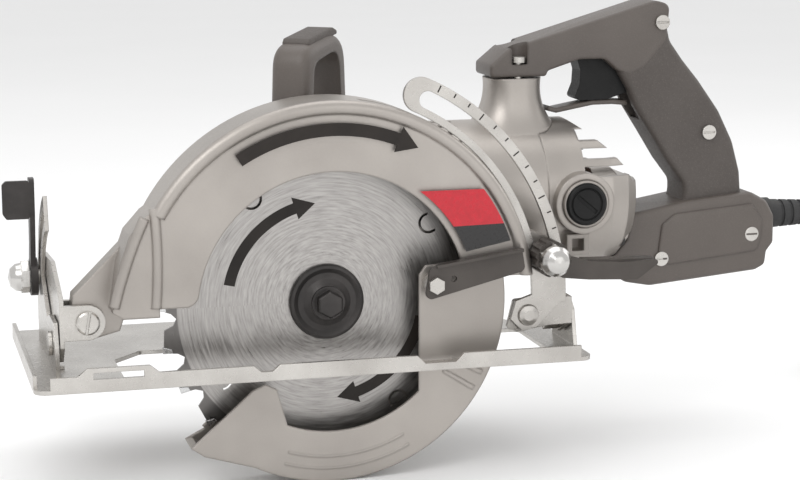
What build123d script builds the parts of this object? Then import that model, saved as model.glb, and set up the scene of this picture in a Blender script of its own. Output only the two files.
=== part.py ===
from build123d import *
import os
from math import atan, atan2, cos, degrees, hypot, pi, radians, sin, tan

# Worm-drive circular saw, blade on the left of the motor.
# Millimetres. +X runs to the rear handle, -Y faces the blade side, +Z is up.
# The origin lies on the underside of the foot, straight below the blade's arbor.

os.makedirs("parts", exist_ok=True)

# ------------------------------------------------------------------ driving dimensions
BLADE_R = 92.0            # 184 mm blade
BLADE_Y = -52.0           # middle of the blade's thickness
KERF = 1.8
TEETH = 24
ARBOR_Z = 33.0
ARBOR_R = 8.0
MOTOR_Z = 79.0            # motor axis, parallel to X in the plane Y = 0
MOTOR_R = 43.0
MOTOR_BORE = 40.0
FIT = 0.05                # running clearance on a radius

WINDOW_R = 73.3           # round opening in the upper guard's face
GUARD_R = 111.0
GUARD_BORE = 108.5
GUARD_FACE = -74.0
GUARD_BACK = -43.6
GUARD_INNER = -71.5       # inner side of the upper guard's face
WEB = -46.6               # inner side of its back wall
LOWER_R = 95.5
LOWER_FACE = -70.0
LOWER_BACK = -47.6
HUB_R = 21.8              # boss that the lower guard turns on
SHEET = 2.2               # pressed steel of the foot and its brackets

WORM_STARTS = 3
WHEEL_TEETH = 16
MODULE = 2.9
WHEEL_R = MODULE * WHEEL_TEETH / 2
WORM_R = MOTOR_Z - ARBOR_Z - WHEEL_R
ADDENDUM = 2.2
DEDENDUM = 2.8
WORM_LEAD = WORM_STARTS * pi * MODULE
TOOTH = 3.8               # tooth thickness at the pitch circle, leaving backlash

PIVOT_X, PIVOT_Z = -129.0, 30.0      # depth pivot at the front
CLAMP_X, CLAMP_Z = 119.0, 55.0       # depth clamp bolt at the rear
LINK_X, LINK_Z = 110.0, 22.0         # pin between the depth arm and the rear bracket
ARM_R = hypot(CLAMP_X, CLAMP_Z - ARBOR_Z)
BEVEL_Y, BEVEL_Z = -45.0, 17.0       # bevel axis, parallel to X
BEVEL_R = 69.0                       # radius of the bevel slot
BEVEL_START, BEVEL_END = 20.0, 67.0  # its ends, degrees above +Y
BOLT_Y = BEVEL_Y + BEVEL_R * cos(radians(BEVEL_START))
BOLT_Z = BEVEL_Z + BEVEL_R * sin(radians(BEVEL_START))

FOOT_FRONT, FOOT_REAR = -160.0, 140.0
FOOT_NEAR, FOOT_FAR = -90.0, 57.0
RAIL = 8.5                # height of the rolled edge of the foot

CORD_D = 9.5
GROUND = ARBOR_Z - LOWER_R            # lowest point of the lower guard, where the lead lies
COIL_X, COIL_Y = 434.0, 65.0         # the spare lead lies here in six turns
COIL_IN, COIL_OUT = 37.5, 66.6
COIL_H = 19.6


# ------------------------------------------------------------------ planes and shared shapes
def side(y):
    """Plane across the saw at this Y: local x is X, local y is Z, extruding towards -Y."""
    return Plane.XZ.offset(-y)


def across(x):
    """Plane at this X: local x is Y, local y is Z, extruding towards +X."""
    return Plane.YZ.offset(x)


def axle(x, z):
    """Half plane of a turned part on an axis along Y: local x is Y, local y is the radius."""
    return Plane(origin=(x, 0, z), x_dir=(0, 1, 0), z_dir=(0, 0, 1))


def spindle(y, z):
    """Half plane of a turned part on an axis along X: local x is X, local y is the radius."""
    return Plane(origin=(0, y, z), x_dir=(1, 0, 0), z_dir=(0, -1, 0))


ARBOR = axle(0, ARBOR_Z)
MOTOR = spindle(0, MOTOR_Z)


def polar(radius, angle, x=0.0, z=ARBOR_Z):
    """A point about an axis along Y, by default the arbor."""
    return (x + radius * cos(radians(angle)), z + radius * sin(radians(angle)))


def turned(where, outline):
    """Solid turned about the local x axis of a plane, from (place, radius) points."""
    with BuildPart() as body:
        with BuildSketch(where):
            with BuildLine():
                Polyline(*outline, close=True)
            make_face()
        revolve(axis=Axis(where.origin, where.x_dir))
    return body.part


def tube(where, low, high, outer, inner=0.0):
    """Turned ring or pin between two places on an axis."""
    return turned(where, [(low, inner), (high, inner), (high, outer), (low, outer)])


def corner_radii(outline, corner):
    """This radius at every corner of a closed outline, or what its two runs leave room for."""
    radii = []
    for place, point in enumerate(outline):
        back = Vector(*outline[place - 1]) - Vector(*point)
        ahead = Vector(*outline[(place + 1) % len(outline)]) - Vector(*point)
        turn = 180 - back.get_angle(ahead)
        room = 0.45 * min(back.length, ahead.length) / tan(radians(max(turn, 1) / 2))
        radii.append(min(corner, room))
    return radii


def flat_shape(plane, outline, corner, thick):
    """Flat plate on a plane, with its corners rounded."""
    with BuildPart() as body:
        with BuildSketch(plane):
            with BuildLine():
                if corner:
                    FilletPolyline(*outline, radius=corner_radii(outline, corner), close=True)
                else:
                    Polyline(*outline, close=True)
            make_face()
        extrude(amount=thick)
    return body.part


def plate(outline, near, far, corner=0.0):
    """Flat plate across the saw, from (X, Z) points."""
    return flat_shape(side(far), outline, corner, far - near)


def panel(outline, low, high, corner=0.0):
    """Flat plate facing along X, from (Y, Z) points."""
    return flat_shape(across(low), outline, corner, high - low)


def hexagon(where, low, high, flats):
    """Hexagonal head on an axis, this wide across its flats."""
    with BuildPart() as body:
        with BuildSketch(Plane(origin=where.origin + where.x_dir * low, z_dir=where.x_dir)):
            RegularPolygon(radius=flats / 2, side_count=6, major_radius=False)
        extrude(amount=high - low)
    return body.part


def sector(near, far, inner, outer, start, end, x=0.0, z=ARBOR_Z):
    """Part of a flat ring about an axis along Y, between two angles."""
    middle = (start + end) / 2
    with BuildPart() as body:
        with BuildSketch(side(far)):
            with BuildLine():
                ThreePointArc(*[polar(outer, a, x, z) for a in (start, middle, end)])
                Line(polar(outer, end, x, z), polar(inner, end, x, z))
                ThreePointArc(*[polar(inner, a, x, z) for a in (end, middle, start)])
                Line(polar(inner, start, x, z), polar(outer, start, x, z))
            make_face()
        extrude(amount=far - near)
    return body.part


def save(piece, name):
    """Label a finished piece and write it."""
    piece.part.label = name
    export_step(piece.part, f"parts/{name}.step")


# ------------------------------------------------------------------ blade and arbor
def blade_outline():
    """Toothed edge: a gullet, a rising back and an upright face for every tooth."""
    points = []
    pitch = 360 / TEETH
    for tooth in range(TEETH):
        face = tooth * pitch
        points += [polar(BLADE_R - 0.6, face), polar(BLADE_R - 7.5, face + 1.6),
                   polar(BLADE_R - 10.5, face + 3.8), polar(BLADE_R - 8.5, face + 6.2),
                   polar(BLADE_R - 3.4, face + 7.4), polar(BLADE_R - 1.8, face + 12.0)]
    return points


TIP_BACK = 2.2            # length of a carbide tip along the edge, degrees
TIP_DEPTH = 5.0

with BuildPart() as carbide_tips:
    for tooth in range(TEETH):
        face = tooth * 360 / TEETH
        tip = [polar(BLADE_R, face), polar(BLADE_R - TIP_DEPTH, face + 0.9),
               polar(BLADE_R - TIP_DEPTH, face - 0.6), polar(BLADE_R - 0.7, face - TIP_BACK)]
        add(plate(tip, BLADE_Y - 1.3, BLADE_Y + 1.3))
save(carbide_tips, "carbide_tips")

SLOT_ANGLES = (35, 125, 215, 305)
with BuildPart() as blade:
    with BuildSketch(side(BLADE_Y + KERF / 2)):
        with BuildLine():
            Polyline(*blade_outline(), close=True)
        make_face()
        with Locations((0, ARBOR_Z)):
            Circle(ARBOR_R, mode=Mode.SUBTRACT)
    extrude(amount=KERF)
    for angle in SLOT_ANGLES:
        centre = polar(70, angle)
        add(sector(BLADE_Y - KERF, BLADE_Y + KERF, 4.4, 5.8, angle + 60, angle + 280, *centre),
            mode=Mode.SUBTRACT)
    add(carbide_tips.part, mode=Mode.SUBTRACT)
save(blade, "blade")

with BuildPart() as inner_flange:
    add(turned(ARBOR, [(-51.1, ARBOR_R), (-46, ARBOR_R), (-46, 15), (-48, 17.5), (-51.1, 17.5)]))
save(inner_flange, "inner_flange")

with BuildPart() as outer_flange:
    add(turned(ARBOR, [(-52.9, 4.1), (-57.6, 4.1), (-57.6, 9), (-56.6, 10.5), (-55.2, 13),
                       (-55.2, 16), (-56.6, 18.5), (-56.0, 20.0), (-54.6, 20.5), (-52.9, 20.5)]))
save(outer_flange, "outer_flange")

with BuildPart() as blade_bolt:
    add(tube(ARBOR, -59.2, -57.6, 9.2))
    add(hexagon(ARBOR, -65, -59.2, 13.0))
    add(tube(ARBOR, -57.6, -40, 4.0))
    chamfer(blade_bolt.faces().sort_by(Axis.Y)[0].edges(), length=0.8)
save(blade_bolt, "blade_bolt")

with BuildPart() as arbor_shaft:
    add(turned(ARBOR, [(-52.9, 4.05), (-39, 4.05), (-39, 0), (26, 0), (26, 7.9), (7, 7.9), (7, 9),
                       (-7, 9), (-7, 10), (-30, 10), (-30, 8.4), (-43, 8.4), (-43, 10.4),
                       (-46, 10.4), (-46, ARBOR_R - FIT), (-52.9, ARBOR_R - FIT)]))
save(arbor_shaft, "arbor_shaft")


# ------------------------------------------------------------------ worm gear
def gear_face(plane, teeth, root, tip, root_half, tip_half, phase):
    """Toothed section: flanks run straight from the root to the tip, in degrees about the axis."""
    with BuildSketch(plane) as face:
        with BuildLine():
            points = []
            for tooth in range(teeth):
                middle = tooth * 360 / teeth + phase
                points += [(root, middle - root_half), (tip, middle - tip_half),
                           (tip, middle), (tip, middle + tip_half), (root, middle + root_half),
                           (root, middle + (180 / teeth + root_half) / 2 + 90 / teeth - 0.5)]
            Polyline(*[(r * cos(radians(a)), r * sin(radians(a))) for r, a in points], close=True)
        make_face()
    return face.sketch


LEAN = tan(radians(20))
WHEEL_W = 12.0
wheel_root_half = degrees((TOOTH / 2 + DEDENDUM * LEAN) / WHEEL_R)
wheel_tip_half = degrees((TOOTH / 2 - ADDENDUM * LEAN) / WHEEL_R)
wheel_twist = degrees(WHEEL_W * WORM_LEAD / (2 * pi * WORM_R) / WHEEL_R)
# A tooth's middle stands straight up at the wheel's mid width, in the gap between two threads.
wheel_plane = Plane(origin=(0, -WHEEL_W / 2, ARBOR_Z), z_dir=(0, 1, 0), x_dir=(0, 0, 1))
wheel_blank = Solid.extrude_linear_with_rotation(
    gear_face(wheel_plane, WHEEL_TEETH, WHEEL_R - DEDENDUM, WHEEL_R + ADDENDUM,
              wheel_root_half, wheel_tip_half, -wheel_twist / 2).face(),
    center=(0, -WHEEL_W / 2, ARBOR_Z), normal=(0, WHEEL_W, 0), angle=wheel_twist)
with BuildPart() as worm_wheel:
    add(wheel_blank)
    add(tube(ARBOR, -WHEEL_W, WHEEL_W, 9.0), mode=Mode.SUBTRACT)
save(worm_wheel, "worm_wheel")

WORM_L = 34.0
turn_per_mm = 360 / WORM_LEAD
thread_root_half = (TOOTH / 2 + DEDENDUM * LEAN) * turn_per_mm
thread_tip_half = (TOOTH / 2 - ADDENDUM * LEAN) * turn_per_mm
worm_plane = Plane(origin=(-WORM_L / 2, 0, MOTOR_Z), z_dir=(1, 0, 0), x_dir=(0, 1, 0))


def worm_face():
    """Section of the three-start worm, straight across its axis."""
    with BuildSketch(worm_plane) as face:
        with BuildLine():
            points = []
            flank = [(0, thread_root_half), (0.25, 0.0), (0.5, 0.0), (0.75, 0.0), (1, thread_tip_half)]
            for thread in range(WORM_STARTS):
                middle = thread * 360 / WORM_STARTS
                rise = []
                for share, _ in flank:
                    radius = WORM_R - DEDENDUM + share * (ADDENDUM + DEDENDUM)
                    half = thread_root_half + share * (thread_tip_half - thread_root_half)
                    rise.append((radius, half))
                points += [(r, middle - half) for r, half in rise]
                points += [(rise[-1][0], middle)]
                points += [(r, middle + half) for r, half in reversed(rise)]
                gap = 120 - 2 * thread_root_half
                points += [(rise[0][0], middle + thread_root_half + gap * part / 5)
                           for part in (1, 2, 3, 4)]
            Polyline(*[(r * cos(radians(a)), r * sin(radians(a))) for r, a in points], close=True)
        make_face()
    return face.sketch.face()


# The worm turns half a thread away from the wheel's upright tooth at X = 0.
WORM_PHASE = -90 + 60 - turn_per_mm * WORM_L / 2
worm_blank = Solid.extrude_linear_with_rotation(
    worm_face().rotate(Axis((0, 0, MOTOR_Z), (1, 0, 0)), WORM_PHASE),
    center=(-WORM_L / 2, 0, MOTOR_Z), normal=(WORM_L, 0, 0), angle=turn_per_mm * WORM_L)
with BuildPart() as worm:
    add(worm_blank)
    add(tube(MOTOR, -WORM_L, WORM_L, 7.0), mode=Mode.SUBTRACT)
save(worm, "worm")

# ------------------------------------------------------------------ motor
with BuildPart() as armature_shaft:
    add(turned(MOTOR, [(-36, 0), (179, 0), (179, 5), (162, 5), (162, 8), (18, 8), (18, 7),
                       (-20, 7), (-20, 5), (-36, 5)]))
save(armature_shaft, "armature_shaft")

POLES = 14
with BuildPart() as armature_core:
    add(tube(MOTOR, 58, 108, 25.4, 8))
    with BuildSketch(across(58)):
        with Locations((0, MOTOR_Z)):
            with PolarLocations(23.4, POLES):
                Rectangle(4.4, 2.0)
    extrude(amount=50, mode=Mode.SUBTRACT)
save(armature_core, "armature_core")

with BuildPart() as armature_windings:
    for low, high in ((49, 58), (108, 118)):
        add(turned(MOTOR, [(low, 9), (high, 9), (high, 18), (high - 2.5, 22.5), (low + 2.5, 22.5),
                           (low, 18)]))
save(armature_windings, "armature_windings")

with BuildPart() as commutator:
    add(tube(MOTOR, 139, 160, 14, 8))
    with BuildSketch(across(139)):
        with Locations((0, MOTOR_Z)):
            with PolarLocations(13.6, 24):
                Rectangle(1.6, 0.7)
    extrude(amount=21, mode=Mode.SUBTRACT)
save(commutator, "commutator")

FAN_BLADES = 11
with BuildPart() as cooling_fan:
    add(tube(MOTOR, 31, 33, 36, 8))
    add(tube(MOTOR, 31, 45, 12, 8))
    for number in range(FAN_BLADES):
        vane = [(11, -1), (35, -1), (35, 1), (11, 1)]
        angle = number * 360 / FAN_BLADES
        vane = [(x * cos(radians(angle)) - y * sin(radians(angle)),
                 MOTOR_Z + x * sin(radians(angle)) + y * cos(radians(angle))) for x, y in vane]
        add(panel(vane, 33, 43))
save(cooling_fan, "cooling_fan")

with BuildPart() as field_stator:
    add(tube(MOTOR, 57, 109, MOTOR_BORE, 26))
    for y in (-33, 33):
        add(panel([(y - 4, MOTOR_Z - 9), (y + 4, MOTOR_Z - 9), (y + 4, MOTOR_Z + 9),
                   (y - 4, MOTOR_Z + 9)], 57, 109), mode=Mode.SUBTRACT)
save(field_stator, "field_stator")

with BuildPart() as field_windings:
    for low, high in ((47, 57), (109, 120)):
        add(turned(MOTOR, [(low, 28), (high, 28), (high, 35), (high - 2, 37.5), (low + 2, 37.5),
                           (low, 35)]))
    for y in (-33, 33):
        add(panel([(y - 3.6, MOTOR_Z - 8.6), (y + 3.6, MOTOR_Z - 8.6), (y + 3.6, MOTOR_Z + 8.6),
                   (y - 3.6, MOTOR_Z + 8.6)], 57, 109))
save(field_windings, "field_windings")


def bearing(where, low, high, outer, inner):
    """Ball bearing as one ring, with the groove between its races on both faces."""
    middle = (outer + inner) / 2
    groove = (outer - inner) / 5
    return turned(where, [(low, inner), (high, inner), (high, middle - groove),
                          (high - 0.8, middle - groove), (high - 0.8, middle + groove),
                          (high, middle + groove), (high, outer), (low, outer),
                          (low, middle + groove), (low + 0.8, middle + groove),
                          (low + 0.8, middle - groove), (low, middle - groove)])


with BuildPart() as arbor_bearings:
    add(bearing(ARBOR, -42.8, -31, 16, 8.4 + FIT))
    add(bearing(ARBOR, 15, 25, 14, 7.9 + FIT))
save(arbor_bearings, "arbor_bearings")

with BuildPart() as armature_bearings:
    add(bearing(MOTOR, -35, -27, 11, 5 + FIT))
    add(bearing(MOTOR, 19, 26, 16, 8 + FIT))
    add(bearing(MOTOR, 169, 177, 11, 5 + FIT))
save(armature_bearings, "armature_bearings")

# ------------------------------------------------------------------ gear housing
COVER_SCREWS = [polar(23.5, angle) for angle in (0, 180, 225, 315)]
PAD_TOP = 122.3
GRIP_X, GRIP_Y, GRIP_TURN = 2.0, -6.0, 52.3      # middle of the front handle and its heading
GRIP_ALONG = Vector(cos(radians(GRIP_TURN)), sin(radians(GRIP_TURN)), 0)
GRIP_SCREWS = [Vector(GRIP_X, GRIP_Y, PAD_TOP) + GRIP_ALONG * reach for reach in (-11, 11)]
with BuildPart() as gear_housing:
    add(turned(MOTOR, [(-40, 0), (-40, 21), (-37, 27), (-31, 30), (10, 30), (19, MOTOR_R - 0.5),
                       (26, MOTOR_R - 0.5), (26, 0)]))
    add(tube(ARBOR, GUARD_BACK, 26, 29.4))
    for low, high, y, deep in ((33, MOTOR_Z, -5, 62), (95, PAD_TOP, -6, 60)):
        with BuildSketch(Plane.XY.offset(low)):
            with Locations((0, y)):
                RectangleRounded(52, deep, 7)
        extrude(amount=high - low)
    add(tube(ARBOR, -49.3, GUARD_BACK, HUB_R))
    add(tube(MOTOR, -26, 19, 26.2), mode=Mode.SUBTRACT)
    add(tube(ARBOR, -25, 26, 26.2), mode=Mode.SUBTRACT)
    with Locations((0, -2.5, 62)):
        Box(44, 45, 34, mode=Mode.SUBTRACT)
    add(tube(MOTOR, -35, -26, 11), mode=Mode.SUBTRACT)
    add(tube(MOTOR, 19, 26, 16), mode=Mode.SUBTRACT)
    add(tube(MOTOR, -36.2, -35, 5.5), mode=Mode.SUBTRACT)
    add(tube(ARBOR, -42.8, -25, 16), mode=Mode.SUBTRACT)
    add(tube(ARBOR, -31, -25, 17), mode=Mode.SUBTRACT)
    add(tube(ARBOR, -49.3, -42.8, 18.6), mode=Mode.SUBTRACT)
    add(tube(MOTOR, 26, 60, MOTOR_R + 0.2), mode=Mode.SUBTRACT)
    for place in GRIP_SCREWS:
        with Locations(place):
            Cylinder(2.5, 22, mode=Mode.SUBTRACT)
save(gear_housing, "gear_housing")

BUTTON_Z = ARBOR_Z + 21.5
with BuildPart() as gear_case_cover:
    add(turned(ARBOR, [(26, 0), (26, 26.0), (26, 29.4), (29, 29.4), (31, 27.5), (33, 17), (33, 0)]))
    add(tube(ARBOR, 15, 26, 17.5, 14))
    add(tube(ARBOR, 25, 26.6, 7.9 + 4 * FIT), mode=Mode.SUBTRACT)
    add(turned(MOTOR, [(8, 0), (8, 30.5), (10, 30.5), (19.5, MOTOR_R + 0.5), (60, MOTOR_R + 0.5),
                       (60, 0)]), mode=Mode.SUBTRACT)
    for x, z in COVER_SCREWS:
        add(tube(axle(x, z), 24, 34, 2.0), mode=Mode.SUBTRACT)
        add(tube(axle(x, z), 30, 36, 4.3), mode=Mode.SUBTRACT)
    add(tube(axle(0, BUTTON_Z), 24, 36, 4.0 + FIT), mode=Mode.SUBTRACT)
save(gear_case_cover, "gear_case_cover")

with BuildPart() as oil_fill_plug:
    add(hexagon(spindle(4, 40), -35, -30.8, 11))
    add(tube(spindle(4, 40), -30.8, -29.5, 7.2))
    add(tube(spindle(4, 40), -36, -33, 2.6), mode=Mode.SUBTRACT)
save(oil_fill_plug, "oil_fill_plug")

# ------------------------------------------------------------------ motor housing with its post
POST_X = 121.0
SCREW_Y = 11.5
VENTS = 7
with BuildPart() as motor_housing:
    add(tube(MOTOR, 26, 130, MOTOR_R))
    for low, high, wide in ((112, 68, 52), (123, 42, 37), (146, 32, 30)):
        with BuildSketch(Plane.XY.offset(low)):
            with Locations((POST_X, 0)):
                RectangleRounded(high, wide, 0.42 * wide)
    loft()
    add(tube(MOTOR, 26, 130, MOTOR_BORE), mode=Mode.SUBTRACT)
    add(tube(MOTOR, 130, 170, MOTOR_R + 0.1), mode=Mode.SUBTRACT)
    with Locations((POST_X, 0, 130)):
        Cylinder(8, 40, mode=Mode.SUBTRACT)
    for y in (-SCREW_Y, SCREW_Y):
        with Locations((POST_X, y, 143)):
            Cylinder(2.05, 12, mode=Mode.SUBTRACT)
    with BuildSketch(across(58)):
        with Locations((0, MOTOR_Z)):
            with PolarLocations(MOTOR_R, VENTS, start_angle=62, angular_range=66,
                                endpoint=True):
                Rectangle(10, 3.2)
    extrude(amount=26, mode=Mode.SUBTRACT)
save(motor_housing, "motor_housing")

BRUSH_X = 149.0
BELL = [(130, 0), (130, MOTOR_R), (168, MOTOR_R), (178, 40), (185, 33), (188, 22), (188, 0)]
BELL_SCREWS = ((-25.5, MOTOR_Z - 25.5), (25.5, MOTOR_Z - 25.5))
LOUVRE_GAPS = ((111.5, 117), (102, 107.5), (92.5, 98))
with BuildPart() as motor_end_bell:
    add(turned(MOTOR, BELL))
    add(plate([(150, 126), (150, 122.5), (158, 116), (168, 107), (176, 98), (182, 88.5), (200, 88.5),
               (200, 126)], -50, 50), mode=Mode.SUBTRACT)
    add(turned(MOTOR, [(130, 0), (130, MOTOR_BORE), (166, MOTOR_BORE), (175, 37), (181, 30),
                       (182, 14.5), (167, 14.5), (167, 0)]), mode=Mode.SUBTRACT)
    for low, high in LOUVRE_GAPS:
        with Locations((170, 0, (low + high) / 2)):
            Box(36, 100, high - low, mode=Mode.SUBTRACT)
    for near, far in ((-49, -38), (38, 49)):
        add(tube(axle(BRUSH_X, MOTOR_Z), near, far, 17))
    with Locations((147, -37, 55)):
        Box(13, 12, 12)
    add(tube(MOTOR, 167, 177, 11), mode=Mode.SUBTRACT)
    add(tube(MOTOR, 177, 180, 6), mode=Mode.SUBTRACT)
    with Locations((147, -40, 55)):
        Box(7, 12, 7, mode=Mode.SUBTRACT)
    for near, far, rim in ((-49, -46, -46), (46, 49, 46)):
        add(tube(axle(BRUSH_X, MOTOR_Z), near, far, 13.6), mode=Mode.SUBTRACT)
    with Locations((BRUSH_X, 0, MOTOR_Z)):
        Box(11, 100, 8.5, mode=Mode.SUBTRACT)
    for y, z in BELL_SCREWS:
        add(tube(spindle(y, z), 160, 186, 2.0), mode=Mode.SUBTRACT)
        add(tube(spindle(y, z), 177, 190, 4.0), mode=Mode.SUBTRACT)
save(motor_end_bell, "motor_end_bell")

with BuildPart() as housing_screws:
    for x, z in COVER_SCREWS:
        add(turned(axle(x, z), [(26.2, 0), (26.2, 2.0), (30, 2.0), (30, 4), (32, 3.4), (32.6, 2),
                                (32.6, 0)]))
        add(plate([(x - 3, z - 0.5), (x + 3, z - 0.5), (x + 3, z + 0.5), (x - 3, z + 0.5)], 31.4, 34),
            mode=Mode.SUBTRACT)
    for y, z in BELL_SCREWS:
        add(tube(spindle(y, z), 162, 177, 2.0))
        add(tube(spindle(y, z), 177, 180.5, 3.6))
save(housing_screws, "housing_screws")

with BuildPart() as brush_caps:
    for sign in (-1, 1):
        add(turned(axle(BRUSH_X, MOTOR_Z), [(sign * 46, 0), (sign * 46, 13.2), (sign * 49.6, 13.2),
                                            (sign * 50.4, 12.4), (sign * 50.4, 9.6),
                                            (sign * 49.4, 9.0), (sign * 49.4, 0)]))
        with Locations((BRUSH_X, sign * 50, MOTOR_Z)):
            Box(1.8, 3, 14, rotation=(0, -35, 0), mode=Mode.SUBTRACT)
save(brush_caps, "brush_caps")

with BuildPart() as brush_holders:
    for sign in (-1, 1):
        with Locations((BRUSH_X, sign * 31, MOTOR_Z)):
            Box(10.8, 29.6, 8.3)
            Box(8.2, 29.6, 5.7, mode=Mode.SUBTRACT)
save(brush_holders, "brush_holders")

with BuildPart() as carbon_brushes:
    for sign in (-1, 1):
        with Locations((BRUSH_X, sign * 23.2, MOTOR_Z)):
            Box(8, 18, 5.5)
save(carbon_brushes, "carbon_brushes")

# ------------------------------------------------------------------ rear handle
ARM_HALF = 15.0
BOX_HALF = 20.0
HANDLE = [(104, 147), (104, 154), (115, 163), (202, 188.5), (211, 186), (210, 175), (212, 165),
          (220, 154), (230, 142), (243, 124), (252, 106), (257, 88), (258, 76), (266, 60),
          (240, 44), (205, 50), (205, 68), (222, 75), (222, 82), (212, 95), (202, 111),
          (191, 128), (187, 138), (180, 149), (172, 156), (157, 156), (138, 150), (137, 147)]
REAR_BOX = [(176, 60), (186, 66.5), (224, 73), (262, 76.5), (272, 71), (277, 62), (277, 46),
            (273, 41), (272, 33), (266, 30), (200, 24), (184, 27), (176, 36)]
TRIGGER_GATE = [(152, 157.5), (198, 157.5), (198, 131.0), (152, 131.0)]
HANDLE_BOLTS = ((206, 176), (236, 112), (262, 52), (206, 40))

with BuildPart() as handle_whole:
    add(plate(HANDLE, -ARM_HALF, ARM_HALF, 6))
    add(plate(REAR_BOX, -BOX_HALF, BOX_HALF, 6))
    # The hollow for the switch and the leads.
    with BuildSketch(side(ARM_HALF - 3.6)):
        with BuildLine():
            Polyline(*HANDLE, close=True)
        make_face()
        offset(amount=-4.2)
    extrude(amount=2 * (ARM_HALF - 3.6), mode=Mode.SUBTRACT)
    with BuildSketch(side(BOX_HALF - 3.4)):
        with BuildLine():
            Polyline(*REAR_BOX, close=True)
        make_face()
        offset(amount=-3.6)
    extrude(amount=2 * (BOX_HALF - 3.4), mode=Mode.SUBTRACT)
    add(turned(MOTOR, [(120, 0), (120, 43.2), (168.1, 43.2), (178.2, 40.2), (185.3, 33.2),
                       (188.3, 22), (188.3, 0)]), mode=Mode.SUBTRACT)
    add(plate(TRIGGER_GATE, -7.6, 7.6), mode=Mode.SUBTRACT)
    add(tube(spindle(0, 60), 266, 280, 7.4), mode=Mode.SUBTRACT)
    for y in (-SCREW_Y, SCREW_Y):
        with Locations((POST_X, y, 170.5)):
            Cylinder(5.4, 31, mode=Mode.SUBTRACT)
        with Locations((POST_X, y, 150)):
            Cylinder(2.1, 12, mode=Mode.SUBTRACT)
    for x, z in HANDLE_BOLTS:
        add(tube(axle(x, z), -30, 11.5, 2.1), mode=Mode.SUBTRACT)

for name, keep in (("handle_left_shell", Keep.TOP), ("handle_right_shell", Keep.BOTTOM)):
    with BuildPart() as shell:
        add(handle_whole.part)
        split(bisect_by=Plane.XZ, keep=keep)
    save(shell, name)

with BuildPart() as handle_screws:
    for x, z in HANDLE_BOLTS:
        half = BOX_HALF if z < 60 else ARM_HALF
        add(tube(axle(x, z), -half - 1.6, -half, 4.2))
        add(tube(axle(x, z), -half, 11.0, 2.0))
        add(plate([(x - 3.4, z - 0.5), (x + 3.4, z - 0.5), (x + 3.4, z + 0.5), (x - 3.4, z + 0.5)],
                  -half - 2, -half - 0.8), mode=Mode.SUBTRACT)
    for y in (-SCREW_Y, SCREW_Y):
        with Locations((POST_X, y, 148)):
            Cylinder(2.0, 14)
        with Locations((POST_X, y, 156.6)):
            Cylinder(4.4, 3.2)
            Box(9, 1.1, 1.2, rotation=(0, 0, 30), mode=Mode.SUBTRACT)
save(handle_screws, "handle_screws")

# ------------------------------------------------------------------ trigger and switch
TRIGGER = [(157.5, 157), (160, 149), (159.5, 141), (156.5, 133.5), (160, 131.8), (176, 132), (189, 136),
           (189, 150), (175, 157)]
with BuildPart() as trigger:
    add(plate(TRIGGER, -7.2, 7.2, 2.5))
    add(tube(spindle(0, 143), 172, 190, 4.0), mode=Mode.SUBTRACT)
save(trigger, "trigger")

SPRING_WIRE = 0.5
with BuildPart() as trigger_spring:
    with BuildLine() as coil:
        Helix(pitch=3.0, height=17.0, radius=2.8, center=(181, 0, 143), direction=(1, 0, 0))
    with BuildSketch(Plane(origin=coil.line @ 0, z_dir=coil.line % 0)):
        Circle(SPRING_WIRE)
    sweep(is_frenet=True)
save(trigger_spring, "trigger_spring")

with BuildPart() as switch_body:
    with Locations((206, 0, 144)):
        Box(13, 15, 20)
    with Locations((214, 0, 144)):
        Box(3, 9, 12)
save(switch_body, "switch_body")

with BuildPart() as trigger_guard_bar:
    add(plate([(141.5, 123.5), (150, 123.5), (164, 127.5), (189.2, 127.6), (189.2, 131.5),
               (164, 131.0), (149, 127.5), (140.5, 127.5)], -7, 7, 1.6))
save(trigger_guard_bar, "trigger_guard_bar")

# ------------------------------------------------------------------ front handle
grip_plane = Plane(origin=(GRIP_X, GRIP_Y, 0), x_dir=GRIP_ALONG,
                   z_dir=(GRIP_ALONG.Y, -GRIP_ALONG.X, 0))
GRIP = [(-30, PAD_TOP), (-26, 168), (26, 175), (30, PAD_TOP)]
GRIP_HOLE = [(-19, PAD_TOP + 5), (-16, 159), (16, 165), (19, PAD_TOP + 5)]
with BuildPart() as front_handle:
    with BuildSketch(grip_plane.offset(-11)):
        with BuildLine():
            FilletPolyline(*GRIP, radius=[0, 15, 19, 0], close=True)
        make_face()
        with BuildLine():
            FilletPolyline(*GRIP_HOLE, radius=[2, 8, 10, 2], close=True)
        make_face(mode=Mode.SUBTRACT)
    extrude(amount=22)
    for place in GRIP_SCREWS:
        with Locations(place):
            Cylinder(2.5, 16, mode=Mode.SUBTRACT)
save(front_handle, "front_handle")

with BuildPart() as front_handle_screws:
    for place in GRIP_SCREWS:
        with Locations(place + Vector(0, 0, -2.5)):
            Cylinder(2.5, 15)
        with Locations(place + Vector(0, 0, 7)):
            Cylinder(4.6, 4)
save(front_handle_screws, "front_handle_screws")

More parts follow.
